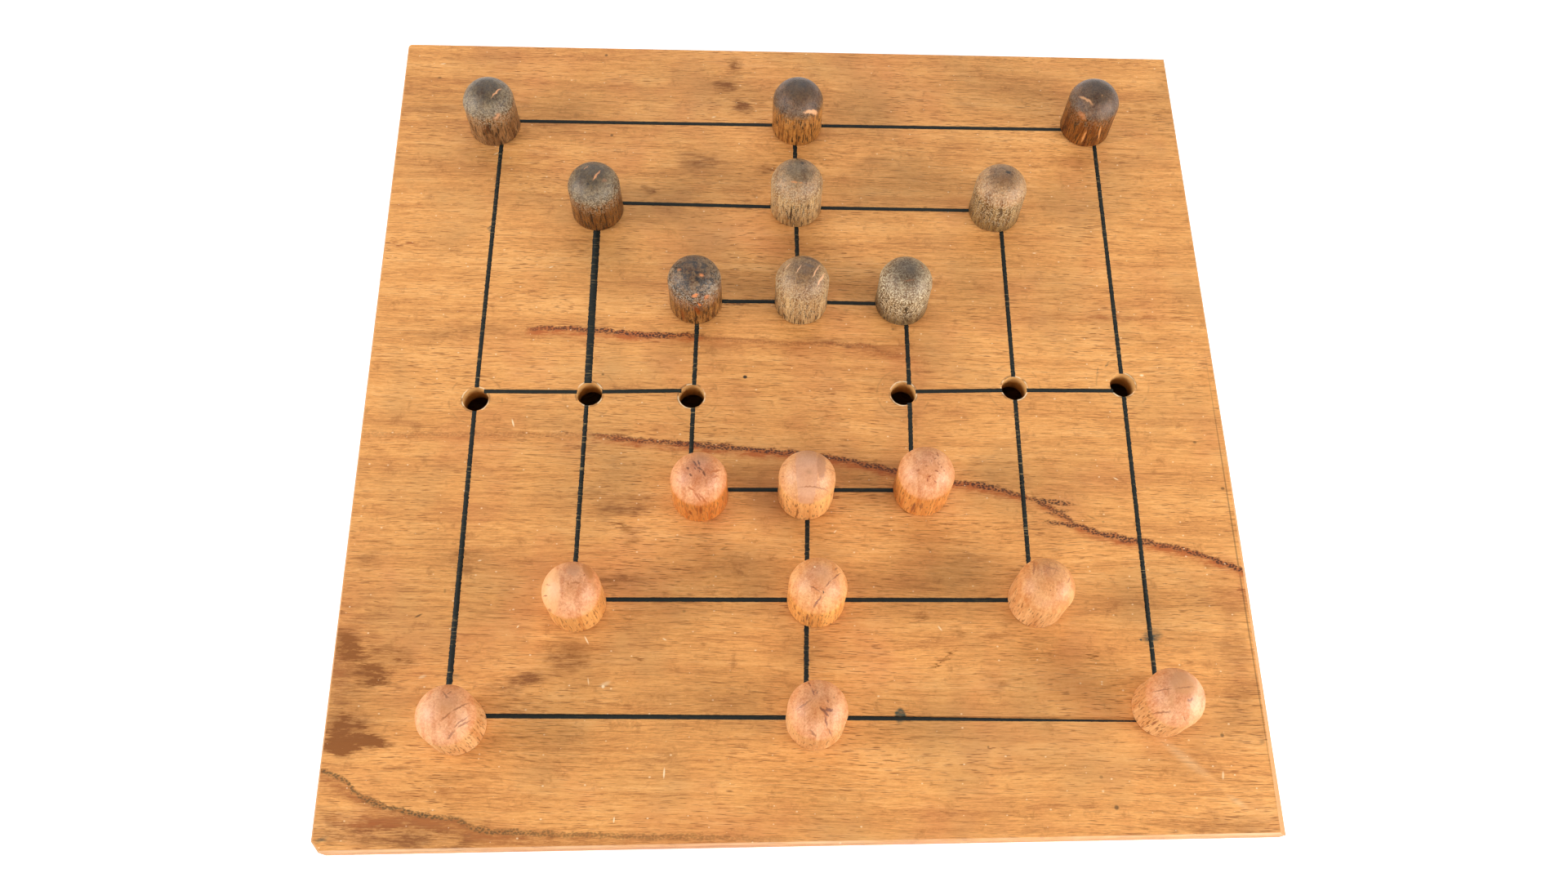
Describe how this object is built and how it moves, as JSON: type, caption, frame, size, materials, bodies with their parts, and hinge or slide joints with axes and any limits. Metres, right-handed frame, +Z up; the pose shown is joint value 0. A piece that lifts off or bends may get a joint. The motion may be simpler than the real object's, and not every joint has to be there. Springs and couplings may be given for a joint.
{
  "type": "nine mens morris box",
  "caption": "Shallow wooden game box with a lift-off lid that is a drilled and scored morris board, and dark and light domed pegs standing in its holes.",
  "frame": {"origin": "on the table, under the middle of the board", "axes": "+X to the right of the player by the light pegs, +Y away from that player, +Z up out of the board"},
  "size_m": [0.2024, 0.2045, 0.0385],
  "materials": {
    "board_wood": "worn satin varnish",
    "ink": "matte black ink in scored lines",
    "dark_peg_wood": "polished by handling",
    "light_peg_wood": "polished by handling",
    "case_wood": "planed and oiled",
    "bottom_plywood": "sanded",
    "pin_steel": "dull wire"
  },
  "bodies": {
    "case": {"front_wall": "case_wood", "back_wall": "case_wood", "left_wall": "case_wood", "right_wall": "case_wood", "bottom_panel": "bottom_plywood", "corner_pins": "pin_steel", "bottom_pins": "pin_steel"},
    "board": {"board": "board_wood", "ink_lines": "ink", "left_batten": "case_wood", "right_batten": "case_wood"},
    "dark_peg_outer_left": {"dark_peg_outer_left": "dark_peg_wood"},
    "dark_peg_outer_centre": {"dark_peg_outer_centre": "dark_peg_wood"},
    "dark_peg_outer_right": {"dark_peg_outer_right": "dark_peg_wood"},
    "light_peg_outer_right": {"light_peg_outer_right": "light_peg_wood"},
    "light_peg_outer_centre": {"light_peg_outer_centre": "light_peg_wood"},
    "light_peg_outer_left": {"light_peg_outer_left": "light_peg_wood"},
    "dark_peg_middle_left": {"dark_peg_middle_left": "dark_peg_wood"},
    "dark_peg_middle_centre": {"dark_peg_middle_centre": "dark_peg_wood"},
    "dark_peg_middle_right": {"dark_peg_middle_right": "dark_peg_wood"},
    "light_peg_middle_right": {"light_peg_middle_right": "light_peg_wood"},
    "light_peg_middle_centre": {"light_peg_middle_centre": "light_peg_wood"},
    "light_peg_middle_left": {"light_peg_middle_left": "light_peg_wood"},
    "dark_peg_inner_left": {"dark_peg_inner_left": "dark_peg_wood"},
    "dark_peg_inner_centre": {"dark_peg_inner_centre": "dark_peg_wood"},
    "dark_peg_inner_right": {"dark_peg_inner_right": "dark_peg_wood"},
    "light_peg_inner_right": {"light_peg_inner_right": "light_peg_wood"},
    "light_peg_inner_centre": {"light_peg_inner_centre": "light_peg_wood"},
    "light_peg_inner_left": {"light_peg_inner_left": "light_peg_wood"}
  },
  "joints": [
    {"name": "board_lift", "type": "slide", "parent": "case", "child": "board", "axis": [0, 0, 1], "range_m": [0, 0.04]},
    {"name": "dark_peg_outer_left_lift", "type": "slide", "parent": "board", "child": "dark_peg_outer_left", "axis": [0, 0, 1], "range_m": [0, 0.02]},
    {"name": "dark_peg_outer_centre_lift", "type": "slide", "parent": "board", "child": "dark_peg_outer_centre", "axis": [0, 0, 1], "range_m": [0, 0.02]},
    {"name": "dark_peg_outer_right_lift", "type": "slide", "parent": "board", "child": "dark_peg_outer_right", "axis": [0, 0, 1], "range_m": [0, 0.02]},
    {"name": "light_peg_outer_right_lift", "type": "slide", "parent": "board", "child": "light_peg_outer_right", "axis": [0, 0, 1], "range_m": [0, 0.02]},
    {"name": "light_peg_outer_centre_lift", "type": "slide", "parent": "board", "child": "light_peg_outer_centre", "axis": [0, 0, 1], "range_m": [0, 0.02]},
    {"name": "light_peg_outer_left_lift", "type": "slide", "parent": "board", "child": "light_peg_outer_left", "axis": [0, 0, 1], "range_m": [0, 0.02]},
    {"name": "dark_peg_middle_left_lift", "type": "slide", "parent": "board", "child": "dark_peg_middle_left", "axis": [0, 0, 1], "range_m": [0, 0.02]},
    {"name": "dark_peg_middle_centre_lift", "type": "slide", "parent": "board", "child": "dark_peg_middle_centre", "axis": [0, 0, 1], "range_m": [0, 0.02]},
    {"name": "dark_peg_middle_right_lift", "type": "slide", "parent": "board", "child": "dark_peg_middle_right", "axis": [0, 0, 1], "range_m": [0, 0.02]},
    {"name": "light_peg_middle_right_lift", "type": "slide", "parent": "board", "child": "light_peg_middle_right", "axis": [0, 0, 1], "range_m": [0, 0.02]},
    {"name": "light_peg_middle_centre_lift", "type": "slide", "parent": "board", "child": "light_peg_middle_centre", "axis": [0, 0, 1], "range_m": [0, 0.02]},
    {"name": "light_peg_middle_left_lift", "type": "slide", "parent": "board", "child": "light_peg_middle_left", "axis": [0, 0, 1], "range_m": [0, 0.02]},
    {"name": "dark_peg_inner_left_lift", "type": "slide", "parent": "board", "child": "dark_peg_inner_left", "axis": [0, 0, 1], "range_m": [0, 0.02]},
    {"name": "dark_peg_inner_centre_lift", "type": "slide", "parent": "board", "child": "dark_peg_inner_centre", "axis": [0, 0, 1], "range_m": [0, 0.02]},
    {"name": "dark_peg_inner_right_lift", "type": "slide", "parent": "board", "child": "dark_peg_inner_right", "axis": [0, 0, 1], "range_m": [0, 0.02]},
    {"name": "light_peg_inner_right_lift", "type": "slide", "parent": "board", "child": "light_peg_inner_right", "axis": [0, 0, 1], "range_m": [0, 0.02]},
    {"name": "light_peg_inner_centre_lift", "type": "slide", "parent": "board", "child": "light_peg_inner_centre", "axis": [0, 0, 1], "range_m": [0, 0.02]},
    {"name": "light_peg_inner_left_lift", "type": "slide", "parent": "board", "child": "light_peg_inner_left", "axis": [0, 0, 1], "range_m": [0, 0.02]}
  ]
}
